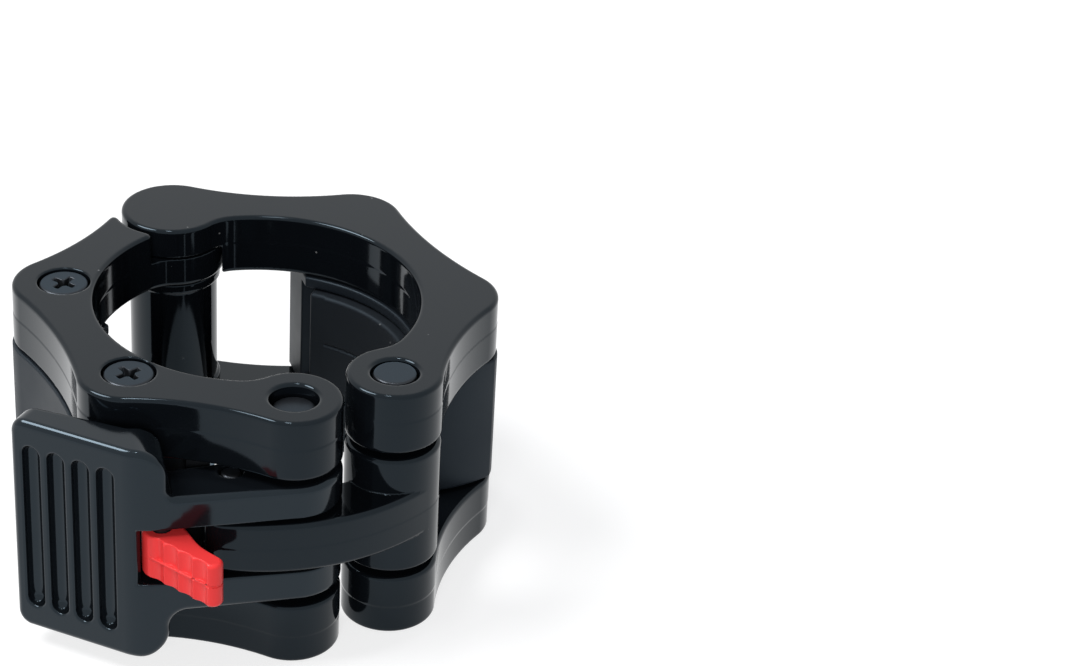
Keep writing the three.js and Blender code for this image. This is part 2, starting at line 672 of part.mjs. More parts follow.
// Torsion spring round the latch pin, below the hub. Its turns stay apart by the pitch less the wire.
function coil() {
  const start = midHeight - latchHeight / 2 + springWire;
  class Helix extends THREE.Curve {
    getPoint(t, target = new THREE.Vector3()) {
      const turn = 2 * Math.PI * (springTurns - 0.5) * t;
      const climb = springPitch * (springTurns - 0.5) * t;
      const [x, y] = plus(latchPivot, [springRadius * Math.cos(turn), springRadius * Math.sin(turn)]);
      return target.set(x, y, start + climb);
    }
  }
  const section = shapeOf(circle([0, 0], springWire / 2, 5));
  const steps = springTurns * 8;
  return new THREE.ExtrudeGeometry(section, { steps, extrudePath: new Helix(), bevelEnabled: false });
}
addNode('latch_spring', coil(), darkSteel);

// Toothed catch between the side plates of the first half, held by a round post at each end
function makeCatch() {
  const points = [];
  for (let i = 0; i < catchToothCount; i++) {
    const from = catchStart - i * catchToothPitch;
    points.push(plus(leverPin, polar(catchTipReach, from)));
    points.push(plus(leverPin, polar(catchTipReach, from - catchToothPitch / 4)));
    points.push(plus(leverPin, polar(catchRoot, from - catchToothPitch / 2)));
    points.push(plus(leverPin, polar(catchRoot, from - catchToothPitch * catchLandShare)));
  }
  const back = arc(leverPin, catchRoot - catchBack, rad(catchEnd), rad(catchStart));
  const teeth = solid(prism([...points, ...back].reverse(), bandLow, bandHigh));
  const post = rod(catchMiddle, catchPostRadius, bandLow - catchPostLength, bandHigh + catchPostLength,
    0, smallSides);
  return teeth.add(solid(post));
}
addNode('catch_rack', makeCatch(), darkSteel);

export default collar;
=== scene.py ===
# %% [markdown]
# # Looks of a hinged clamp collar for a bar sleeve
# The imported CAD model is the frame. Every piece here lies in that frame, in metres, with the bar's axis
# upright through the origin and the collar standing on its lower face. Glossy moulded side plates hold a
# matt middle band, and a grooved lever with a red latch closes them.

# %% Load the frame
import math

import bpy
import numpy as np
from mathutils import Matrix, Vector


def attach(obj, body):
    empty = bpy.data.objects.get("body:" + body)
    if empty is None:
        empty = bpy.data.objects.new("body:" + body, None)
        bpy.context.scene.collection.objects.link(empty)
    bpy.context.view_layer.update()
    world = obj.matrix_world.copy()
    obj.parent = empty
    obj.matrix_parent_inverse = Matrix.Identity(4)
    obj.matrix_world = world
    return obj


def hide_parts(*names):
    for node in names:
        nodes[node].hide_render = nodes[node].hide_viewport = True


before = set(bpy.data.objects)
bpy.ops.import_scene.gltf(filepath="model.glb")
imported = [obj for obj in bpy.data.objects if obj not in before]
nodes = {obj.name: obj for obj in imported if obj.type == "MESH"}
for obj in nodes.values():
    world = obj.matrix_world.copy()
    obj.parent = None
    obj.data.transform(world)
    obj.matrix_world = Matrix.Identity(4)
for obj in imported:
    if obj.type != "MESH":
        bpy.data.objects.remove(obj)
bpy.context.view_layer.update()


def placed(name, data):
    """A new object in the scene that shows some data."""
    thing = bpy.data.objects.new(name, data)
    bpy.context.scene.collection.objects.link(thing)
    return thing


# %% [markdown]
# The photograph looks down on the collar from in front of the lever, through a long lens. The camera's
# right, up and back directions were fitted to the bore, the screws and the upright edges in it. The
# collar fills the left half of the frame, as in the photograph.

# %% Camera
right, up, back = (0.5098, 0.8586, 0.0532), (-0.4606, 0.2202, 0.8598), (0.7266, -0.4629, 0.5078)
camera_place = (0.3833, -0.1875, 0.2923)
sensor_width, focal_length, nearest = 36, 97.1, 0.01
camera_data = bpy.data.cameras.new("camera")
camera_data.sensor_width, camera_data.lens = sensor_width, focal_length
camera_data.clip_start = nearest
camera = placed("camera", camera_data)
axes = Matrix((right, up, back)).transposed().to_quaternion()
camera.matrix_world = Matrix.Translation(camera_place) @ axes.to_matrix().to_4x4()
bpy.context.scene.camera = camera
print("camera at", camera_place, "lens", focal_length)

# %% [markdown]
# The collar stands on a pale floor in a studio that lights it only dimly, but that is seen and mirrored
# as plain white: the flat tops mirror the far side and the upright walls the floor. Plain light comes
# from a softbox high on the camera's left, which draws the bright lines on the rounded edges, a large
# front lamp beside the camera and a small weak one overhead. The front lamp stands low, where the tops
# would mirror it from behind, so it lights the collar without being mirrored.

# %% Floor, surround and lights
def tree_of(owner):
    """The owner's node tree, cleared."""
    owner.use_nodes = True
    owner.node_tree.nodes.clear()
    return owner.node_tree


def add(tree, kind, **inputs):
    """A new node with some of its inputs set."""
    node = tree.nodes.new(kind)
    for name, value in inputs.items():
        node.inputs[name.replace("_", " ")].default_value = value
    return node


def join(tree, *links):
    """Each link goes from a node's output to another node's input."""
    for source, output, target, inlet in links:
        tree.links.new(source.outputs[output], target.inputs[inlet])


def compute(tree, operation, *values):
    """A Math node. Each value is a node and the name of its output."""
    node = add(tree, "ShaderNodeMath")
    node.operation = operation
    join(tree, *[(*value, node, i) for i, value in enumerate(values)])
    return node


def seen_rays(tree):
    """1 for rays from the camera and for those that a glossy or clear surface sends on, else 0."""
    ray = add(tree, "ShaderNodeLightPath")
    seen = compute(tree, "MAXIMUM", (ray, "Is Camera Ray"), (ray, "Is Glossy Ray"))
    return compute(tree, "MAXIMUM", (seen, "Value"), (ray, "Is Transmission Ray"))


surround_grey, white = (0.17, 0.185, 0.21, 1), (1, 1, 1, 1)
paper_grey, paper_roughness, floor_glow = (0.36, 0.36, 0.36, 1), 0.9, 0.72
floor_reach, floor_level = 3.0, -0.0001
lamp_aim = (0, 0, 0.02)

world = bpy.data.worlds.new("studio")
bpy.context.scene.world = world
tree = tree_of(world)
surround = add(tree, "ShaderNodeBackground", Color=surround_grey, Strength=1)
plain_white = add(tree, "ShaderNodeBackground", Color=white, Strength=1)
choose = add(tree, "ShaderNodeMixShader")
join(tree, (seen_rays(tree), "Value", choose, 0), (surround, "Background", choose, 1),
     (plain_white, "Background", choose, 2),
     (choose, "Shader", add(tree, "ShaderNodeOutputWorld"), "Surface"))

floor_mesh = bpy.data.meshes.new("floor")
floor_corners = [(side * floor_reach, end * floor_reach, floor_level)
                 for side, end in ((-1, -1), (1, -1), (1, 1), (-1, 1))]
floor_mesh.from_pydata(floor_corners, [], [(0, 1, 2, 3)])
floor = placed("floor", floor_mesh)
pale = bpy.data.materials.new("pale_floor")
tree = tree_of(pale)
paper = add(tree, "ShaderNodeBsdfPrincipled", Base_Color=paper_grey, Roughness=paper_roughness)
glow = add(tree, "ShaderNodeEmission", Color=white, Strength=floor_glow)
lit = add(tree, "ShaderNodeAddShader")
choose = add(tree, "ShaderNodeMixShader")
join(tree, (paper, "BSDF", lit, 0), (glow, "Emission", lit, 1), (seen_rays(tree), "Value", choose, 0),
     (paper, "BSDF", choose, 1), (lit, "Shader", choose, 2))
from_below = add(tree, "ShaderNodeMixShader")
join(tree, (add(tree, "ShaderNodeNewGeometry"), "Backfacing", from_below, 0),
     (choose, "Shader", from_below, 1),
     (add(tree, "ShaderNodeBsdfTransparent"), "BSDF", from_below, 2),
     (from_below, "Shader", add(tree, "ShaderNodeOutputMaterial"), "Surface"))
floor_mesh.materials.append(pale)


def soft_light(name, place, size, watts, mirrored=True):
    """A round lamp that looks at the collar, and that glossy surfaces can be kept from mirroring."""
    data = bpy.data.lights.new(name, "AREA")
    data.shape, data.size, data.energy = "DISK", size, watts
    lamp = placed(name, data)
    facing = (Vector(place) - Vector(lamp_aim)).to_track_quat("Z", "Y")
    lamp.matrix_world = Matrix.Translation(place) @ facing.to_matrix().to_4x4()
    lamp.visible_glossy = mirrored


soft_light("overhead", (0.0, -0.1, 1.0), 0.11, 1.2)
soft_light("softbox", (-0.25, -0.45, 0.80), 0.46, 8)
soft_light("front", (0.9, -0.55, 0.40), 0.6, 8.5, mirrored=False)
bpy.context.scene.view_settings.view_transform = "Standard"

# %% [markdown]
# Seven finishes cover the collar. The plates, the link and the spacer are glossy black mouldings and the
# lever is a slightly duller one; the bands and the grips are matt; the latch is bright red; the steel
# parts are dark and the hidden inserts are brass. Handling leaves a few specks of dust on most of them,
# and the mould leaves a fine grain.

# %% Shader groups: mould grain and dust
def group_of(name, inlets, outlets):
    """A shader group with its inputs' values and its outputs' kinds, and its two end nodes."""
    group = bpy.data.node_groups.new(name, "ShaderNodeTree")
    for title, value in inlets.items():
        socket = group.interface.new_socket(title, in_out="INPUT", socket_type="NodeSocketFloat")
        socket.default_value = value
    for title, kind in outlets.items():
        group.interface.new_socket(title, in_out="OUTPUT", socket_type=kind)
    return group, add(group, "NodeGroupInput"), add(group, "NodeGroupOutput")


fine_detail, patches_per_metre, patch_detail = 2, 90, 4
speck_core, speck_rim = 0.03, 0.06

grain_group, given, result = group_of("mould_grain", {"Grains per metre": 4000, "Depth": 4e-6},
                                      {"Normal": "NodeSocketVector", "Patches": "NodeSocketFloat"})
where = add(grain_group, "ShaderNodeTexCoord")
fine = add(grain_group, "ShaderNodeTexNoise", Detail=fine_detail)
slow = add(grain_group, "ShaderNodeTexNoise", Scale=patches_per_metre, Detail=patch_detail)
bump = add(grain_group, "ShaderNodeBump", Strength=1)
join(grain_group, (where, "Object", fine, "Vector"), (where, "Object", slow, "Vector"),
     (given, "Grains per metre", fine, "Scale"), (given, "Depth", bump, "Distance"),
     (fine, "Fac", bump, "Height"), (bump, "Normal", result, "Normal"),
     (slow, "Fac", result, "Patches"))

dust_group, given, result = group_of("dust_specks", {"Specks per metre": 260, "Share": 0.16},
                                     {"Mask": "NodeSocketFloat"})
where = add(dust_group, "ShaderNodeTexCoord")
cells = add(dust_group, "ShaderNodeTexVoronoi", Randomness=1)
speck = add(dust_group, "ShaderNodeMapRange", From_Min=speck_core, From_Max=speck_rim,
            To_Min=1, To_Max=0)
chance = add(dust_group, "ShaderNodeSeparateColor")
join(dust_group, (where, "Object", cells, "Vector"), (given, "Specks per metre", cells, "Scale"),
     (cells, "Distance", speck, "Value"), (cells, "Color", chance, "Color"))
picked = compute(dust_group, "LESS_THAN", (chance, "Red"), (given, "Share"))
mask = compute(dust_group, "MULTIPLY", (speck, "Result"), (picked, "Value"))
join(dust_group, (mask, "Value", result, "Mask"))
print("shader groups", grain_group.name, dust_group.name)

# %% Finishes
dust_grey, dust_veil = 0.12, 0.8
patch_low, patch_high = 0.3, 0.7
# Sockets that share a name with others of their node are found by their number
share_inlet, first_colour, second_colour, mixed_colour = 0, 6, 7, 2


def finish(name, colour, roughness, metallic=0.0, grains=4000, depth=3e-6, spread=0.05, dust=0.3,
           shine=0.27, reflection_tint=(0.64, 0.84, 1.0)):
    """A moulded or machined surface: grain, slow change in its roughness, and a few specks of dust.
    Shine is how strongly it mirrors. The tint of its reflections is painted: the bluish one on the black
    mouldings stands in for bluish light around them."""
    material = bpy.data.materials.new(name)
    tree = tree_of(material)
    shader = add(tree, "ShaderNodeBsdfPrincipled", Metallic=metallic, Specular_IOR_Level=shine,
                 Specular_Tint=(*reflection_tint, 1))
    grain = add(tree, "ShaderNodeGroup")
    grain.node_tree = grain_group
    grain.inputs["Grains per metre"].default_value = grains
    grain.inputs["Depth"].default_value = depth
    specks = add(tree, "ShaderNodeGroup")
    specks.node_tree = dust_group
    specks.inputs["Share"].default_value = dust
    span = add(tree, "ShaderNodeMapRange", From_Min=patch_low, From_Max=patch_high,
               To_Min=roughness - spread, To_Max=roughness + spread)
    tint = add(tree, "ShaderNodeMix")
    tint.data_type = "RGBA"
    tint.inputs[first_colour].default_value = (*colour, 1)
    dusty = [min(1.0, dust_grey + dust_veil * c) for c in colour]
    tint.inputs[second_colour].default_value = (*dusty, 1)
    join(tree, (specks, "Mask", tint, share_inlet), (tint, mixed_colour, shader, "Base Color"),
         (grain, "Patches", span, "Value"), (span, "Result", shader, "Roughness"),
         (grain, "Normal", shader, "Normal"),
         (shader, "BSDF", add(tree, "ShaderNodeOutputMaterial"), "Surface"))
    return material


# The black finishes tint everything they mirror with a painted blue that stands in for bluish light
# around them; the latch's reflections stay white.
gloss_black = finish("gloss_black_moulding", (0.0028, 0.0036, 0.0048), 0.08, depth=1.5e-6, spread=0.03)
lever_black = finish("lever_black_moulding", (0.0036, 0.0046, 0.0060), 0.12, depth=2e-6, spread=0.03,
                     shine=0.38)
band_black = finish("matt_black_band", (0.007, 0.009, 0.012), 0.48, grains=2500, depth=8e-6)
pad_black = finish("matt_black_grip", (0.006, 0.007, 0.009), 0.6, grains=2500, depth=10e-6)
latch_red = finish("red_latch_moulding", (0.72, 0.038, 0.038), 0.30, dust=0.05, shine=0.2,
                   reflection_tint=white[:3])
dark_steel = finish("dark_steel", (0.034, 0.037, 0.042), 0.32, metallic=0.8, dust=0.03)
brass = finish("turned_brass", (0.60, 0.42, 0.18), 0.3, metallic=1.0, dust=0)
by_slot = {"gloss_black": gloss_black, "band_black": band_black, "pad_black": pad_black,
           "latch_red": latch_red, "dark_steel": dark_steel, "brass": brass}
starts = {"side_plate": "gloss_black", "middle_band": "band_black", "grip_pad": "pad_black",
          "screw": "dark_steel", "insert": "brass", "catch_rack": "dark_steel",
          "hinge_pin": "dark_steel", "hinge_spacer": "gloss_black",
          "lever_pin": "dark_steel", "link_pin": "dark_steel", "lever_link_pin": "dark_steel",
          "latch_pin": "dark_steel", "latch_spring": "dark_steel",
          "latch": "latch_red", "link": "gloss_black", "lever": "gloss_black"}
for name, node in nodes.items():
    start = max((s for s in starts if name.startswith(s)), key=len)
    for slot in node.material_slots:
        slot.material = by_slot[starts[start]]
print("materials", sorted(by_slot))

# %% [markdown]
# Moulded pieces have hardly a sharp edge: corners are rounded, and walls meet in a fillet. Each piece is
# described here by its distance field, in millimetres: how far a point lies outside the piece. Two
# fields meet or join with a radius of their own, which is how the mould's tool is cut.

# %% Distance fields
def slab(z, low, high):
    return np.abs(z - (low + high) / 2) - (high - low) / 2


def disc(x, y, centre, radius):
    return np.hypot(x - centre[0], y - centre[1]) - radius


def meet(a, b, radius):
    """What lies in both, with a rounded edge."""
    corner = np.hypot(np.maximum(radius + a, 0), np.maximum(radius + b, 0))
    return np.minimum(-radius, np.maximum(a, b)) + corner


def merge(a, b, radius):
    """What lies in either, with a fillet between them."""
    corner = np.hypot(np.maximum(radius - a, 0), np.maximum(radius - b, 0))
    return np.maximum(radius, np.minimum(a, b)) - corner


def cut(a, b, radius):
    return meet(a, -b, radius)


def polar(reach, degrees):
    return reach * math.cos(math.radians(degrees)), reach * math.sin(math.radians(degrees))


def plus(a, b):
    return a[0] + b[0], a[1] + b[1]


def minus(a, b):
    return a[0] - b[0], a[1] - b[1]


def angle_to(a, b):
    return math.atan2(b[1] - a[1], b[0] - a[0])


def span_of(a, b):
    return math.hypot(b[0] - a[0], b[1] - a[1])


def beyond(x, y, centre, radius, degrees):
    """Distance past the tangent of a disc that faces in a direction."""
    away = math.radians(degrees)
    return (x - centre[0]) * math.cos(away) + (y - centre[1]) * math.sin(away) - radius


def right_of(a, reach_a, b, reach_b):
    """The point at two given distances from two centres, on the right of the way between them."""
    span = span_of(a, b)
    along = (span ** 2 + reach_a ** 2 - reach_b ** 2) / (2 * span)
    across = math.sqrt(reach_a ** 2 - along ** 2)
    ux, uy = (b[0] - a[0]) / span, (b[1] - a[1]) / span
    return a[0] + ux * along + uy * across, a[1] + uy * along - ux * across


def belt(x, y, rounds):
    """Distance to a closed outline that runs round discs, joined by straight tangents. A disc with a
    negative radius is a hollow that the outline passes on its other side."""
    slack = 1e-3
    turns = []
    for (a, r), (b, s) in zip(rounds, rounds[1:] + rounds[:1]):
        turns.append(angle_to(a, b) - math.acos(min(1, max(-1, (r - s) / span_of(a, b)))))
    best = np.full(np.broadcast(x, y).shape, np.inf, dtype=np.float32)
    for i, (centre, radius) in enumerate(rounds):
        start, end = turns[i - 1], turns[i]
        other, other_radius = rounds[(i + 1) % len(rounds)]
        sign = 1 if radius > 0 else -1
        sweep = (sign * (end - start)) % math.tau
        facing = start if radius > 0 else start + math.pi
        lag = (sign * (np.arctan2(y - centre[1], x - centre[0]) - facing)) % math.tau
        away = (np.hypot(x - centre[0], y - centre[1]) - abs(radius)) * sign
        away = np.where((lag <= sweep + slack) | (lag >= math.tau - slack), away, np.inf)
        best = np.where(np.abs(away) < np.abs(best), away, best)
        normal = (math.cos(end), math.sin(end))
        a = (centre[0] + radius * normal[0], centre[1] + radius * normal[1])
        b = (other[0] + other_radius * normal[0], other[1] + other_radius * normal[1])
        length = span_of(a, b)
        if length > slack:
            ux, uy = (b[0] - a[0]) / length, (b[1] - a[1]) / length
            along = (x - a[0]) * ux + (y - a[1]) * uy
            away = (x - a[0]) * uy - (y - a[1]) * ux
            away = np.where((along >= -slack) & (along <= length + slack), away, np.inf)
            best = np.where(np.abs(away) < np.abs(best), away, best)
    return best


# %% [markdown]
# A field becomes a mesh by surface nets: each cell of a fine grid that the surface crosses gives one
# corner, and each grid edge that it crosses gives one face. The corners are then moved onto the surface
# itself and carry the field's own slope as their normals, so that highlights run smoothly. The grid
# fills a box, given as a range on each axis, and a few steps more on every side.

# %% From field to mesh
metres = 0.001
settling_rounds, least_slope = 2, 1e-9


def place_mesh(name, corners, faces, material, normals):
    mesh = bpy.data.meshes.new(name)
    mesh.from_pydata(corners, [], faces)
    mesh.materials.append(material)
    mesh.polygons.foreach_set("use_smooth", [True] * len(mesh.polygons))
    mesh.normals_split_custom_set_from_vertices(normals)
    return placed(name, mesh)


def crossings(values, cells):
    """The mean place, in each cell, of the points where the surface crosses the cell's twelve edges."""
    total, count = np.zeros((len(cells[0]), 3)), np.zeros(len(cells[0]))
    for axis in range(3):
        for first in (0, 1):
            for second in (0, 1):
                offset = np.insert(np.array([first, second]), axis, 0)
                ahead = offset + np.eye(3, dtype=int)[axis]
                a = values[tuple(c + o for c, o in zip(cells, offset))]
                b = values[tuple(c + o for c, o in zip(cells, ahead))]
                crossed = (a < 0) != (b < 0)
                share = np.where(crossed, a / np.where(crossed, a - b, 1), 0)
                total += crossed[:, None] * (offset + share[:, None] * (ahead - offset))
                count += crossed
    return total / count[:, None]


def surface(name, field, box, step, material):
    """A smooth closed mesh of the field's zero surface within a box, in millimetres."""
    ticks = [np.arange(low - 2 * step, high + 3 * step, step) for low, high in box]
    x, y, z = np.meshgrid(*ticks, indexing="ij", sparse=True)
    shape = tuple(len(a) for a in ticks)
    values = np.broadcast_to(field(x, y, z), shape).astype(np.float32)
    inside = values < 0
    corners = sum(inside[i:shape[0] - 1 + i, j:shape[1] - 1 + j, k:shape[2] - 1 + k].astype(np.uint8)
                  for i in (0, 1) for j in (0, 1) for k in (0, 1))
    cells = np.nonzero((corners > 0) & (corners < 8))
    index = np.full(corners.shape, -1, dtype=np.int64)
    index[cells] = np.arange(len(cells[0]))
    start = np.array([a[0] for a in ticks])
    points = start + step * (np.stack(cells, axis=1) + crossings(values, cells))

    def slope(p):
        h = step / 4
        columns = []
        for axis in range(3):
            shift = np.eye(3)[axis] * h
            columns.append(field(*(p + shift).T) - field(*(p - shift).T))
        normal = np.stack(columns, axis=1) / (2 * h)
        return normal / np.maximum(np.linalg.norm(normal, axis=1, keepdims=True), least_slope)

    for _ in range(settling_rounds):
        offset = np.clip(field(*points.T), -step / 2, step / 2)
        points = points - offset[:, None] * slope(points)
    faces = []
    for axis in range(3):
        b, c = (axis + 1) % 3, (axis + 2) % 3
        low = np.take(inside, np.arange(shape[axis] - 1), axis=axis)
        high = np.take(inside, np.arange(1, shape[axis]), axis=axis)
        edges = np.argwhere(low != high)
        step_b, step_c = np.eye(3, dtype=int)[b], np.eye(3, dtype=int)[c]
        ring = [edges - step_b - step_c, edges - step_c, edges, edges - step_b]
        quads = np.stack([index[tuple(r.T)] for r in ring], axis=1)
        outwards = low[tuple(edges.T)]
        quads[~outwards] = quads[~outwards][:, ::-1]
        faces.append(quads)
    faces = np.concatenate(faces)
    print(name, len(points), "corners,", 2 * len(faces), "triangles")
    return place_mesh(name, points * metres, faces, material, slope(points))


def turned_over(piece, name, height):
    """A copy for the second half, which is the first one turned half round about the level axis."""
    mesh = piece.data.copy()
    mesh.name = name
    turn = Matrix.Translation((0, 0, height * metres)) @ Matrix.Rotation(math.pi, 4, "X")
    mesh.transform(turn)
    return placed(name, mesh)


# %% [markdown]
# The main sizes are the CAD model's own, in millimetres. Both halves share one outline: four round ends,
# about the hinge, the two screws and the pin, joined by hollow arcs outside and by the bore inside. Gap
# is the clearance that pieces keep, and rim is the rounding of a hole's edge. Hair is added to one of
# two equal discs, so that no arc of a belt is exactly half a turn.

# %% Sizes shared by the pieces
bar_radius, bar_clearance, bore_radius, height, plate = 25.0, 0.15, 27.3, 46.5, 11.0
closed_radius, middle = bar_radius + bar_clearance, height / 2
edge_round, rim, gap, hair = 0.7, 0.3, 0.3, 0.01
knuckle_radius, pin_knuckle_radius, pin_half_gap = 9.05, 8.0, 1.1
hinge = (-(closed_radius + knuckle_radius), 0.0)
pin_y = pin_knuckle_radius + pin_half_gap
lever_pin = (math.sqrt((closed_radius + pin_knuckle_radius) ** 2 - pin_y ** 2), -pin_y)
link_pin = (lever_pin[0], pin_y)
rear_lobe, rear_lobe_radius = (-18.0, -27.4), 8.7
front_lobe, front_lobe_radius = (13.4, -29.4), 8.5
waists, bore_fillet = (47.0, 70.0, 45.0), 7.0
pin_radius, screw_radius, screw_head_radius = 3.6, 2.0, 4.1


def half_outline(inset=0.0, proud=0.0, bore=bore_radius):
    """The discs of one half's outline, all moved inwards by the inset, with the screws' two proud."""
    rounds = [(hinge, knuckle_radius - inset), (rear_lobe, rear_lobe_radius - inset + proud),
              (front_lobe, front_lobe_radius - inset + proud), (lever_pin, pin_knuckle_radius - inset)]
    path = [rounds[0]]
    for (a, r), (b, s), waist in zip(rounds, rounds[1:], waists):
        waist += inset
        path += [(right_of(a, r + waist, b, s + waist), -waist), (b, s)]
    last = rounds[-1]
    to_pin = right_of((0, 0), bore - bore_fillet, last[0], last[1] + bore_fillet)
    mirrored = right_of((0, 0), bore - bore_fillet, hinge, rounds[0][1] + bore_fillet)
    to_hinge = (mirrored[0], -abs(mirrored[1]))
    return path + [(to_pin, -bore_fillet), ((0, 0), -bore), (to_hinge, -bore_fillet)]


half_box = [(-43.6, 40.2), (-38.3, 9.2)]
print("lever pin", [round(v, 2) for v in lever_pin], "outline of", len(half_outline()), "arcs")

# %% [markdown]
# Each half has two thick side plates. The upper one of the first half carries the screws, sunk in round
# seats. Beside the other half's hinge knuckle it is cut away in an arc, and only a thinner ear runs on
# under the knuckle to the hinge pin. The lower one is blank and ends in the knuckle, which covers the
# hinge pin's end. A fine step on the walls shows where the mould parts. The second half is the same pair
# turned over.

# %% Side plates
cap_thickness, cap_wall, tip_clearance, ear_clearance = 5.5, 2.4, 1.05, 0.6
head_height, set_back, hinge_pin_radius = 3.1, 0.3, 3.2
tip_round, plate_step = 1.6, 0.33
parting_step, parting_rise, parting_height, skin = 0.05, 0.2, 5.3, 0.02


def parting(z, level):
    """The small step between the two halves of a mould, as a change of the outline with height."""
    return skin + parting_step * np.clip((z - level) / parting_rise, 0, 1)


def screwed_plate(x, y, z):
    outline = belt(x, y, half_outline()) + parting(z, height - parting_height)
    blunt = cut(outline, disc(x, y, hinge, knuckle_radius + tip_clearance), tip_round)
    ear_top = height - cap_thickness - gap / 2
    eared = np.maximum(outline, np.minimum(z - ear_top, blunt))
    body = meet(eared, slab(z, height - plate, height), edge_round)
    body = cut(body, disc(x, y, hinge, hinge_pin_radius + gap), rim)
    body = cut(body, disc(x, y, lever_pin, pin_radius + gap), edge_round)
    floor_height = height - set_back - head_height - gap
    for lobe in (rear_lobe, front_lobe):
        seat = np.maximum(disc(x, y, lobe, screw_head_radius + gap), floor_height - z)
        body = cut(body, seat, rim)
        body = np.maximum(body, -disc(x, y, lobe, screw_radius + gap))
    return body


def blank_plate(x, y, z):
    outline = belt(x, y, half_outline()) + parting(-z, -parting_height)
    body = meet(outline, slab(z, 0, plate), edge_round)
    ear = disc(x, y, hinge, knuckle_radius + ear_clearance)
    under_ear = meet(ear, cap_thickness - gap / 2 - z, rim)
    body = cut(body, under_ear, rim)
    body = np.maximum(body, -np.maximum(disc(x, y, hinge, hinge_pin_radius + gap), cap_wall - z))
    return cut(body, disc(x, y, lever_pin, pin_radius + gap), edge_round)


top_a = surface("plate_a_top", screwed_plate, half_box + [(height - plate, height)],
                plate_step, gloss_black)
bottom_a = surface("plate_a_bottom", blank_plate, half_box + [(0, plate)], plate_step, gloss_black)
bottom_b = turned_over(top_a, "plate_b_bottom", height)
top_b = turned_over(bottom_a, "plate_b_top", height)
for piece, body, node in (
        (top_a, "frame_a", "side_plate_a_top"), (bottom_a, "frame_a", "side_plate_a_bottom"),
        (bottom_b, "frame_b", "side_plate_b_bottom"), (top_b, "frame_b", "side_plate_b_top")):
    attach(piece, body)
    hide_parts(node)

# %% [markdown]
# Between the plates lies a matt band, a little proud of them at the screws. It ends in a round boss near
# the pin. A softer grip pad sits in its inner side, against the bar. A seam runs along the middle of the
# pad, and past a small step near each end the pad is thinner.

# %% Bands and grip pads
band_inset, band_proud, band_edge = 0.25, 0.49, 0.35
band_low, band_high = plate + gap, height - plate - gap
band_rear = (-29.6, -21.0)
pad_half_span, pad_thickness, pad_edge, pad_spread = 43.0, 3.6, 2.3, 9.0
pad_inner = closed_radius + bar_clearance
pad_outer = pad_inner + pad_thickness
pad_seam_depth, pad_seam_half, pad_end_span, pad_round, pad_step = 0.35, 0.3, 6.5, 0.7, 0.3
slot_half, relief_margin = 5.15, 1.5
slot_low, slot_high = middle - slot_half, middle + slot_half
latch_nose_reach, latch_nose_angle, latch_nose_length, latch_arm_width = 17.55, -118.0, 2.6, 3.0
nose_root = plus(lever_pin, polar(latch_nose_reach + latch_nose_length, latch_nose_angle))
latch_relief = latch_arm_width / 2 + relief_margin + 2 * gap


def sector(x, y, half_span):
    """A wedge from the bar's axis to the front, by half_span degrees on each side."""
    ends = [beyond(x, y, (0, 0), 0, -90 + side * (half_span + 90)) for side in (-1, 1)]
    return np.maximum(*ends)


def band_body(x, y, z, clears_latch):
    outline = half_outline(band_inset, band_proud, bore_radius - band_inset)
    boss, hollow = front_lobe_radius - band_inset + band_proud, waists[-1]
    waist = right_of(front_lobe, boss + hollow + band_inset, lever_pin, pin_knuckle_radius + hollow)
    front_inner = polar(pad_inner, -90 + pad_half_span)
    turn = angle_to(front_inner, front_lobe) + math.asin(boss / span_of(front_inner, front_lobe))
    front = meet(beyond(x, y, front_lobe, boss, math.degrees(angle_to(front_lobe, waist))),
                 beyond(x, y, front_lobe, boss, math.degrees(turn) + 90), boss)
    rear_inner = polar(pad_inner, -90 - pad_half_span)
    rear = beyond(x, y, rear_inner, 0, math.degrees(angle_to(rear_inner, band_rear)) - 90)
    plan = np.maximum(belt(x, y, outline), np.maximum(front, rear))
    body = meet(plan, slab(z, band_low, band_high), band_edge)
    recess = np.maximum(disc(x, y, (0, 0), pad_outer + gap), sector(x, y, pad_half_span + pad_spread))
    recess = np.maximum(recess, slab(z, band_low + pad_edge - gap, band_high - pad_edge + gap))
    body = cut(body, recess, rim)
    if clears_latch:
        relief = np.maximum(disc(x, y, nose_root, latch_relief), slab(z, slot_low, slot_high))
        body = cut(body, relief, rim)
    return body


def grip_pad(x, y, z):
    low, high = band_low + pad_edge, band_high - pad_edge
    ends = sector(x, y, pad_half_span)
    stepped = sector(x, y, pad_half_span - pad_end_span)
    inner = pad_inner - np.hypot(x, y) + np.where(stepped > 0, pad_seam_depth, 0)
    wall = np.maximum(disc(x, y, (0, 0), pad_outer), inner)
    body = meet(meet(wall, slab(z, low, high), pad_round), ends, pad_round)
    groove = disc(np.hypot(x, y), z, (pad_inner, middle), pad_seam_half)
    return cut(body, groove, pad_seam_half / 2)


band_box = [(-38.3, 22.8), (-38.9, -13.0), (band_low, band_high)]
band_a = surface("band_a", lambda x, y, z: band_body(x, y, z, True),
                 band_box, plate_step, band_black)
band_plain = surface("band_plain", lambda x, y, z: band_body(x, y, z, False),
                     band_box, plate_step, band_black)
pad_box = [(-20.0, 20.0), (-29.2, -17.0), (band_low + pad_edge, band_high - pad_edge)]
pad_a = surface("pad_a", grip_pad, pad_box, pad_step, pad_black)
band_b, pad_b = turned_over(band_plain, "band_b", height), turned_over(pad_a, "pad_b", height)
bpy.data.objects.remove(band_plain)
for piece, body, node, slot_name in (
        (band_a, "frame_a", "middle_band_a", "band_black"),
        (band_b, "frame_b", "middle_band_b", "band_black"),
        (pad_a, "frame_a", "grip_pad_a", "pad_black"),
        (pad_b, "frame_b", "grip_pad_b", "pad_black")):
    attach(piece, body)
    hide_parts(node)

# %% [markdown]
# The link is a tall eye barrel on its pin with a lower curved strap, which passes outside the lever's
# pin and ends in a round boss with a short slot for the small pin. Its mould parts at mid height and
# leaves the same fine step as on the plates.

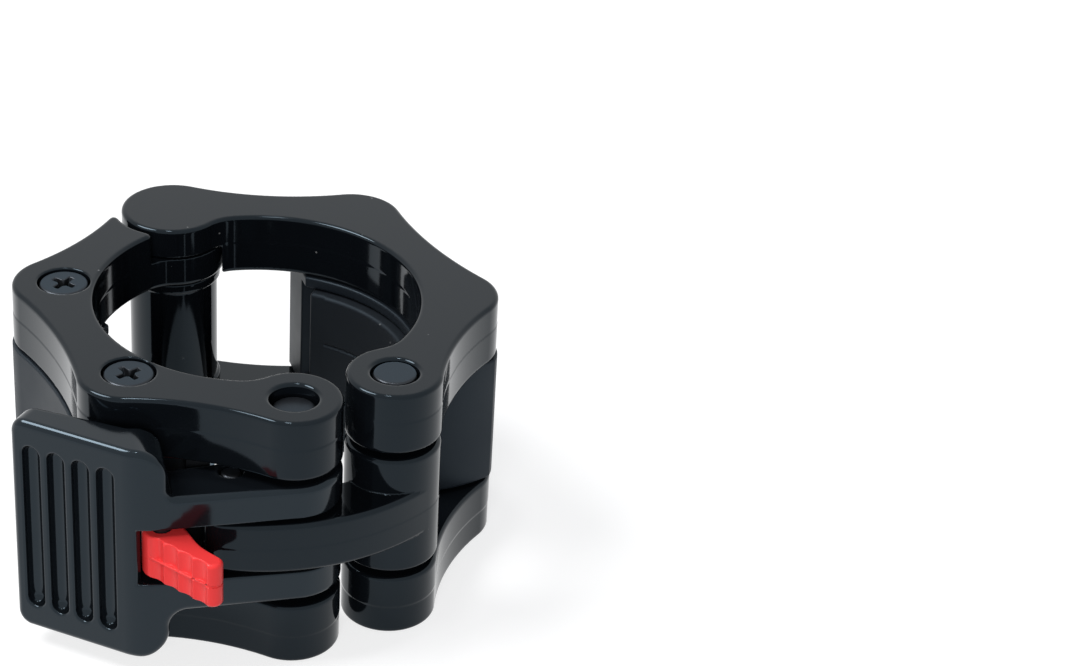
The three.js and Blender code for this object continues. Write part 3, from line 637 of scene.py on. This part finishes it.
# %% Link
arm_set_in, link_pivot_reach, link_pivot_angle = 1.3, 10.3, -101.5
arm_low, arm_high = plate + arm_set_in, height - plate - arm_set_in
strap_height, strap_outer, strap_round, barrel_round, link_step = 9.1, 37.0, 0.9, 0.8, 0.3
link_pivot = plus(lever_pin, polar(link_pivot_reach, link_pivot_angle))
link_end, link_end_radius = plus(link_pivot, (1.2, -0.7)), 4.9
pivot_pin_radius, slot_clearance, slot_length, slot_angle = 1.65, 0.45, 2.1, -59.0
lever_pin_clearance = 0.6
strap_centre = right_of(link_pin, strap_outer - pin_knuckle_radius,
                        link_end, strap_outer - link_end_radius)


def link_body(x, y, z):
    chord = beyond(x, y, link_pin, 0, math.degrees(angle_to(link_pin, link_end)) - 90)
    strap = belt(x, y, [(link_end, link_end_radius), (strap_centre, strap_outer),
                        (link_pin, pin_knuckle_radius)])
    pin_room = disc(x, y, lever_pin, pin_radius + lever_pin_clearance)
    strap = np.maximum(np.maximum(strap, chord), -pin_room)
    strap = np.minimum(strap, disc(x, y, link_end, link_end_radius))
    strap = strap + parting(z, middle)
    body = meet(strap, slab(z, middle - strap_height / 2, middle + strap_height / 2), strap_round)
    barrel = disc(x, y, link_pin, pin_knuckle_radius) + parting(z, middle)
    barrel = meet(barrel, slab(z, arm_low, arm_high), barrel_round)
    body = np.minimum(body, barrel)
    body = cut(body, disc(x, y, link_pin, pin_radius + gap), rim)
    slot_end = plus(link_pivot, polar(slot_length, slot_angle))
    channel = belt(x, y, [(link_pivot, pivot_pin_radius + slot_clearance),
                          (slot_end, pivot_pin_radius + slot_clearance + hair)])
    return cut(body, channel, rim)


link_box = [(22.0, 42.0), (-26.5, 17.3), (arm_low, arm_high)]
link = surface("link_moulding", link_body, link_box, link_step, gloss_black)
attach(link, "link")
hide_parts("link")

# %% [markdown]
# The lever is one moulding. A wide thumb pad with four deep, round-ended grooves bends into a neck,
# which steps down to two arms round the lever's pin. The slot between the arms runs on through the neck,
# where the latch sits. Behind its face the pad is hollow, so that the wall stays even and the moulding
# doesn't sink.

# %% Lever
eye_radius, thumb_angle, thumb_length = 8.0, 35.9, 23.5
thumb_bend = plus(lever_pin, (-0.36, -27.4))
thumb_tip = plus(thumb_bend, polar(-thumb_length, thumb_angle))
tip_thickness, heel_thickness, heel_back = 4.9, 6.8, 5.2
tip_edge, tip_trim, heel_round, bend_round = 1.5, 0.54, 1.4, 8.0
thumb_height, thumb_round, tip_corner = 39.8, 1.2, 2.6
neck_corner, neck_root, lower_neck_root = 5.2, 1.5, 3.0
thumb_wall, thumb_rib, slot_set_back = 2.8, 1.9, 0.2
groove_count, groove_first, groove_pitch = 4, 4.4, 4.5
groove_width, groove_height, groove_depth = 3.1, 30.9, 2.0
latch_pivot, latch_hub_radius = plus(lever_pin, (-1.5, -22.5)), 3.1
past_tip, far_inset = 12, 0.6
waist_radius, waist_wall = 3.0, 1.7
groove_edge, slot_edge = 0.45, 0.4
hollow_lean, hollow_reach, hollow_tip = 0.37, 4, 1.4
hollow_edge, hollow_corner = 0.8, 1.0
lever_step = 0.27


def on_thumb(along, inwards):
    """A point at two distances from the thumb pad's tip: along its face and inwards from it."""
    return plus(plus(thumb_tip, polar(along, thumb_angle)), polar(inwards, thumb_angle + 90))


neck_turn = angle_to(thumb_bend, lever_pin) - math.asin(eye_radius / span_of(thumb_bend, lever_pin))
neck_degrees = math.degrees(neck_turn)


def lever_body(x, y, z):
    # Along the thumb pad from its tip, inwards from its face, and up along the neck from the bend
    s = beyond(x, y, thumb_tip, 0, thumb_angle)
    n = beyond(x, y, thumb_tip, 0, thumb_angle + 90)
    t = beyond(x, y, thumb_bend, 0, neck_degrees)
    heel = thumb_length - heel_back
    bend_reach = bend_round / math.cos(math.radians((neck_degrees - thumb_angle) / 2))
    inwards = (neck_degrees + thumb_angle) / 2 + 90
    waist = plus(link_pivot, (-pivot_pin_radius - waist_wall - waist_radius, 0))
    heel_corner = on_thumb(heel, heel_thickness)
    opening = math.radians(thumb_angle + 180 - neck_degrees) / 2
    heel_fillet = plus(heel_corner,
                       polar(heel_round / math.sin(opening), neck_degrees + math.degrees(opening)))
    far = tip_thickness / 2 - far_inset
    faces = belt(x, y, [
        (on_thumb(-past_tip, far), far),
        (plus(thumb_bend, polar(bend_reach, inwards)), bend_round),
        (lever_pin, eye_radius), (waist, -waist_radius), (heel_fillet, -heel_round)])
    pad = slab(z, middle - thumb_height / 2, middle + thumb_height / 2)
    root = np.where(z > middle, neck_root, lower_neck_root)
    profile = merge(meet(t - neck_corner, pad, neck_corner), slab(z, arm_low, arm_high), root)
    profile = np.maximum(profile, meet(tip_trim - s, pad, tip_corner))
    near_tip = np.clip((2 * tip_edge - s) / (2 * tip_edge), 0, 1)
    body = meet(faces, profile, thumb_round + near_tip * (tip_edge - thumb_round))
    scoop = groove_width / 2
    for i in range(groove_count):
        aside = s - (groove_first + i * groove_pitch)
        deep = np.maximum(n - (groove_depth - scoop), 0)
        rise = np.maximum(np.abs(z - middle) - (groove_height / 2 - scoop), 0)
        body = cut(body, np.hypot(np.hypot(aside, deep), rise) - scoop, groove_edge)
    neck_slot = np.minimum(thumb_length - slot_set_back - s, np.maximum(thumb_wall - n, heel / 2 - s))
    neck_slot = np.minimum(neck_slot, disc(x, y, latch_pivot, latch_hub_radius + 2 * gap))
    neck_slot = np.maximum(neck_slot, slab(z, slot_low, slot_high))
    body = cut(body, neck_slot, slot_edge)
    lean = (s + (n - thumb_wall) * hollow_lean) - (thumb_length - hollow_reach)
    hollow = meet(np.maximum(thumb_wall - n, 2 * tip_edge + hollow_tip - s), lean, hollow_edge)
    for low, high in ((middle - thumb_height / 2 + thumb_wall, slot_low - thumb_rib),
                      (slot_high + thumb_rib, middle + thumb_height / 2 - thumb_wall)):
        body = cut(body, meet(hollow, slab(z, low, high), hollow_corner), slot_edge)
    body = cut(body, disc(x, y, lever_pin, pin_radius + gap), slot_edge)
    return cut(body, disc(x, y, link_pivot, pivot_pin_radius + gap), rim)


lever_box = [(8.0, 41.0), (-53.5, -0.5), (3.3, 43.2)]
lever = surface("lever_moulding", lever_body, lever_box, lever_step, lever_black)
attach(lever, "lever")
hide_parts("lever")

# %% [markdown]
# The red latch turns on a pin in the neck. Its tab has a row of four shallow hollows for the thumb,
# split by a fine ridge at mid height, and a fine seam runs round the tab's nose. Its other arm reaches
# to the catch. A round space under its hub is kept free for the spring.

# %% Latch
latch_height, scallop_count, scallop_depth, latch_edge = 8.1, 4, 0.55, 0.7
spring_turns, spring_pitch, spring_wire, spring_radius = 3, 0.95, 0.45, 1.9
latch_pin_radius = 1.5
face_start, face_end = (1.4, -2.8), (12.6, 2.0)
nose_centre, nose_round, hub_cover = (11.75, 3.4), 1.65, 3.2
back_hollow, back_radius, back_round = (5.6, 12.5), 9.0, 1.0
seam_half, seam_start, ridge_half, ridge_round, scallop_edge = 0.16, 9.5, 0.22, 0.15, 0.16
nose_tip_radius, nose_set_back, arm_round, hub_round, pin_play = 0.35, 0.5, 0.5, 0.4, 0.1
latch_step = 0.18
latch_low, latch_high = middle - latch_height / 2, middle + latch_height / 2
hub_low = latch_low + spring_turns * spring_pitch + spring_wire


def latch_body(x, y, z):
    u, v = x - latch_pivot[0], y - latch_pivot[1]
    tab = belt(u, v, [((0.0, 0.0), hub_cover), (nose_centre, nose_round)])
    tab = cut(tab, disc(u, v, back_hollow, back_radius), back_round)
    body = meet(tab, slab(z, latch_low, latch_high), latch_edge)
    spring_room = np.maximum(disc(u, v, (0, 0), spring_radius + spring_wire), z - hub_low)
    body = np.maximum(body, -spring_room)
    lean = angle_to(face_start, face_end)
    half = span_of(face_start, face_end) / scallop_count / 2
    scoop = (half ** 2 + scallop_depth ** 2) / (2 * scallop_depth)
    a = (u - face_start[0]) * math.cos(lean) + (v - face_start[1]) * math.sin(lean)
    b = -(u - face_start[0]) * math.sin(lean) + (v - face_start[1]) * math.cos(lean)
    for i in range(scallop_count):
        hollow = np.hypot(a - (2 * i + 1) * half, b - scallop_depth + scoop) - scoop
        body = cut(body, meet(hollow, ridge_half - np.abs(z - middle), ridge_round), scallop_edge)
    groove = np.maximum(np.abs(z - middle) - seam_half, seam_start - u)
    groove = np.maximum(np.abs(tab) - seam_half, groove)
    body = np.maximum(body, -groove)
    tip = minus(plus(lever_pin, polar(latch_nose_reach, latch_nose_angle)), latch_pivot)
    root = minus(nose_root, latch_pivot)
    half_width = latch_arm_width / 2
    arm = belt(u, v, [((0.0, 0.0), half_width), (root, half_width + hair)])
    nose_tip = plus(tip, polar(-nose_set_back, latch_nose_angle + 180))
    nose = belt(u, v, [(root, half_width), (nose_tip, nose_tip_radius)])
    lift = slab(z, hub_low, latch_high)
    body = np.minimum(body, meet(np.minimum(arm, nose), lift, arm_round))
    body = np.minimum(body, meet(disc(u, v, (0, 0), latch_hub_radius), lift, hub_round))
    return np.maximum(body, -disc(u, v, (0, 0), latch_pin_radius + pin_play))


latch_box = [(19.0, 44.5), (-36.0, -24.0), (latch_low, latch_high)]
latch = surface("latch_moulding", latch_body, latch_box, latch_step, latch_red)
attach(latch, "latch")
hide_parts("latch")

# %% [markdown]
# Turned and moulded round parts: the two cross pins with their rounded ends, the small pin of the arms,
# and the spacer on the hinge pin, which has a flange at each end and a slimmer waist.

# %% Pins and hinge spacer
pin_round, pin_step, pin_margin = 0.45, 0.22, 0.2
sunk, nearly_flush = 2.0, 0.2
pin_specs = (
    ("lever_pin", "lever_pin", "frame_a", lever_pin, pin_radius, sunk, height - sunk),
    ("link_pin", "link_pin", "frame_b", link_pin, pin_radius, nearly_flush, height - nearly_flush),
    ("arm_pin", "lever_link_pin", "lever", link_pivot, pivot_pin_radius,
     arm_low + nearly_flush, arm_high - nearly_flush))
for name, node, body, centre, radius, low, high in pin_specs:
    reach = radius + pin_margin

    def rounded_pin(x, y, z):
        return meet(disc(x, y, centre, radius), slab(z, low, high), pin_round)

    box = [(c - reach, c + reach) for c in centre] + [(low, high)]
    pin = surface("round_" + name, rounded_pin, box, pin_step, dark_steel)
    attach(pin, body)
    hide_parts(node)

flange_radius, spacer_waist, flange_height = 8.3, 7.75, 1.9
waist_edge, flange_edge, flange_fillet, spacer_margin, spacer_step = 0.2, 0.45, 0.25, 0.2, 0.3


def spacer_body(x, y, z):
    body = meet(disc(x, y, hinge, spacer_waist), slab(z, band_low, band_high), waist_edge)
    for base in (band_low, band_high - flange_height):
        ring = slab(z, base, base + flange_height)
        flange = meet(disc(x, y, hinge, flange_radius), ring, flange_edge)
        body = merge(body, flange, flange_fillet)
    return cut(body, disc(x, y, hinge, hinge_pin_radius + gap), rim)


reach = flange_radius + spacer_margin
spacer_box = [(hinge[0] - reach, hinge[0] + reach), (-reach, reach), (band_low, band_high)]
spacer = surface("spacer_ring", spacer_body, spacer_box, spacer_step, gloss_black)
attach(spacer, "frame_a")
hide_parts("hinge_spacer")

# %% [markdown]
# Four screws with a cross recess hold the halves. One is described as a field, and a node group sets it
# down at both screw places of a half, each turned a little differently as a hand leaves them.

# %% Screws by geometry nodes
cross_reach, cross_half, cross_depth = 2.2, 0.5, 1.7
reach_taper, half_taper, cross_edge = 0.5, 0.1, 0.12
core_radius, core_taper, core_edge = 1.0, 0.4, 0.15
head_round, shank_length, shank_overlap, shank_round, screw_step = 0.45, 6, 1, 0.2, 0.17
screw_turn, screw_spread, screw_seed = 22, 14, 4
least_number, most_number, number_outlet = 2, 3, 1


def screw_form(x, y, z):
    out = np.hypot(x, y)
    head = meet(out - screw_head_radius, slab(z, -head_height, 0), head_round)
    shank = slab(z, -head_height - shank_length, -head_height + shank_overlap)
    body = np.minimum(head, meet(out - screw_radius, shank, shank_round))
    for a, b in ((x, y), (y, x)):
        arm = np.maximum(np.abs(a) - cross_reach - z * reach_taper,
                         np.abs(b) - cross_half - z * half_taper)
        body = cut(body, np.maximum(arm, -z - cross_depth), cross_edge)
    return cut(body, out - core_radius - z * core_taper, core_edge)


def geometry_group(name, inlets):
    group = bpy.data.node_groups.new(name, "GeometryNodeTree")
    group.interface.new_socket("Geometry", in_out="INPUT", socket_type="NodeSocketGeometry")
    for title, kind in inlets.items():
        group.interface.new_socket(title, in_out="INPUT", socket_type=kind)
    group.interface.new_socket("Geometry", in_out="OUTPUT", socket_type="NodeSocketGeometry")
    return group, add(group, "NodeGroupInput"), add(group, "NodeGroupOutput")


def grown(name, group, mesh, settings):
    """The plain mesh that a node group makes of a mesh, with its named inputs set."""
    host = placed(name + "_host", mesh)
    modifier = host.modifiers.new("grow", "NODES")
    modifier.node_group = group
    for item in group.interface.items_tree:
        if item.item_type == "SOCKET" and item.in_out == "INPUT" and item.name in settings:
            modifier[item.identifier] = settings[item.name]
    result = bpy.data.meshes.new_from_object(host.evaluated_get(bpy.context.evaluated_depsgraph_get()))
    bpy.data.objects.remove(host)
    result.name = name
    print(name, len(result.polygons), "faces")
    return placed(name, result)


screw_group, given, result = geometry_group("screw_pair", {
    "First": "NodeSocketVector", "Second": "NodeSocketVector", "Turn": "NodeSocketFloat",
    "Spread": "NodeSocketFloat", "Seed": "NodeSocketInt"})
line = add(screw_group, "GeometryNodeMeshLine", Count=2)
line.mode = "END_POINTS"
least = compute(screw_group, "SUBTRACT", (given, "Turn"), (given, "Spread"))
most = compute(screw_group, "ADD", (given, "Turn"), (given, "Spread"))
chance = add(screw_group, "FunctionNodeRandomValue")
chance.data_type = "FLOAT"
spin = add(screw_group, "ShaderNodeCombineXYZ")
set_down = add(screw_group, "GeometryNodeInstanceOnPoints")
realize = add(screw_group, "GeometryNodeRealizeInstances")
paint = add(screw_group, "GeometryNodeSetMaterial", Material=dark_steel)
join(screw_group, (given, "First", line, "Start Location"), (given, "Second", line, "Offset"),
     (least, "Value", chance, least_number), (most, "Value", chance, most_number),
     (given, "Seed", chance, "Seed"), (chance, number_outlet, spin, "Z"),
     (line, "Mesh", set_down, "Points"),
     (given, "Geometry", set_down, "Instance"), (spin, "Vector", set_down, "Rotation"),
     (set_down, "Instances", realize, "Geometry"), (realize, "Geometry", paint, "Geometry"),
     (paint, "Geometry", result, "Geometry"))

screw_box = [(-4.2, 4.2), (-4.2, 4.2), (-head_height - shank_length, 0)]
screw = surface("screw_form", screw_form, screw_box, screw_step, dark_steel)
screw_mesh = screw.data
bpy.data.objects.remove(screw)
head_place = (height - set_back) * metres
screws_a = grown("screws_a", screw_group, screw_mesh, {
    "First": (rear_lobe[0] * metres, rear_lobe[1] * metres, head_place),
    "Second": (front_lobe[0] * metres, front_lobe[1] * metres, head_place),
    "Turn": math.radians(screw_turn), "Spread": math.radians(screw_spread), "Seed": screw_seed})
screws_b = turned_over(screws_a, "screws_b", height)
for piece, body, letter in ((screws_a, "frame_a", "a"), (screws_b, "frame_b", "b")):
    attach(piece, body)
    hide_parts(f"screw_{letter}1", f"screw_{letter}2")

# %% [markdown]
# A torsion spring under the latch's hub holds its nose in the catch. Its group takes the turns, the
# rise and the coil's and the wire's radius, and sweeps a round wire along the coil.

# %% Spring by geometry nodes
steps_per_turn, wire_sides, coils = 40, 14, spring_turns - 0.5
spring_group, given, result = geometry_group("wound_spring", {
    "Turns": "NodeSocketFloat", "Coil radius": "NodeSocketFloat", "Wire radius": "NodeSocketFloat",
    "Rise": "NodeSocketFloat", "Foot": "NodeSocketVector"})
spiral = add(spring_group, "GeometryNodeCurveSpiral", Resolution=steps_per_turn)
wire = add(spring_group, "GeometryNodeCurvePrimitiveCircle", Resolution=wire_sides)
sweep = add(spring_group, "GeometryNodeCurveToMesh", Fill_Caps=True)
lift = add(spring_group, "GeometryNodeTransform")
smooth = add(spring_group, "GeometryNodeSetShadeSmooth")
whole = add(spring_group, "GeometryNodeRealizeInstances")
paint = add(spring_group, "GeometryNodeSetMaterial", Material=dark_steel)
join(spring_group, (given, "Turns", spiral, "Rotations"),
     (given, "Coil radius", spiral, "Start Radius"), (given, "Coil radius", spiral, "End Radius"),
     (given, "Rise", spiral, "Height"), (given, "Wire radius", wire, "Radius"),
     (spiral, "Curve", sweep, "Curve"), (wire, "Curve", sweep, "Profile Curve"),
     (sweep, "Mesh", lift, "Geometry"), (given, "Foot", lift, "Translation"),
     (lift, "Geometry", smooth, "Geometry"), (smooth, "Geometry", whole, "Geometry"),
     (whole, "Geometry", paint, "Geometry"), (paint, "Geometry", result, "Geometry"))
spring = grown("wound_spring", spring_group, bpy.data.meshes.new("empty"), {
    "Turns": coils, "Coil radius": spring_radius * metres, "Wire radius": spring_wire / 2 * metres,
    "Rise": spring_pitch * coils * metres,
    "Foot": (latch_pivot[0] * metres, latch_pivot[1] * metres, (latch_low + spring_wire) * metres)})
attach(spring, "lever")
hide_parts("latch_spring")

# %% [markdown]
# The catch is a short rack of teeth on an arc about the lever's pin. Each tooth has a flat tip, a
# slanted flank and a steep one, so that the latch's nose rides over it one way and holds the other way.
# A round post at its middle stands in both plates.

# %% Toothed catch
catch_tip, tooth_depth, tooth_pitch, tooth_count = 17.2, 0.7, 4.4, 4
catch_start, catch_back, land_share = -116.4, 3.2, 0.9
catch_root = catch_tip - tooth_depth
catch_middle_angle = catch_start - tooth_count * tooth_pitch / 2
catch_middle = plus(lever_pin, polar(catch_root - catch_back / 2, catch_middle_angle))
post_radius, post_length, post_room, catch_round, catch_step = 1.2, 2.2, 2.3, 0.25, 0.2
tip_end, flank_end = 0.25, 0.5


def catch_body(x, y, z):
    rho = disc(x, y, lever_pin, 0)
    turn = np.degrees(np.arctan2(y - lever_pin[1], x - lever_pin[0]))
    phase = ((catch_start - turn) / tooth_pitch) % 1
    tooth = np.interp(phase, [0, tip_end, flank_end, land_share, 1], [1, 1, 0, 0, 1])
    plan = np.maximum(rho - catch_root - tooth * tooth_depth, catch_root - catch_back - rho)
    ends = np.radians(np.abs(turn - catch_middle_angle) - tooth_count * tooth_pitch / 2) * rho
    body = meet(np.maximum(plan, ends), slab(z, band_low, band_high), catch_round)
    tall = slab(z, band_low - post_length, band_high + post_length)
    return np.minimum(body, np.maximum(disc(x, y, catch_middle, post_radius), tall))


catch_box = [(18.0, 27.0), (-26.0, -18.0), (band_low - post_room, band_high + post_room)]
catch = surface("catch_teeth", catch_body, catch_box, catch_step, dark_steel)
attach(catch, "frame_a")
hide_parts("catch_rack")
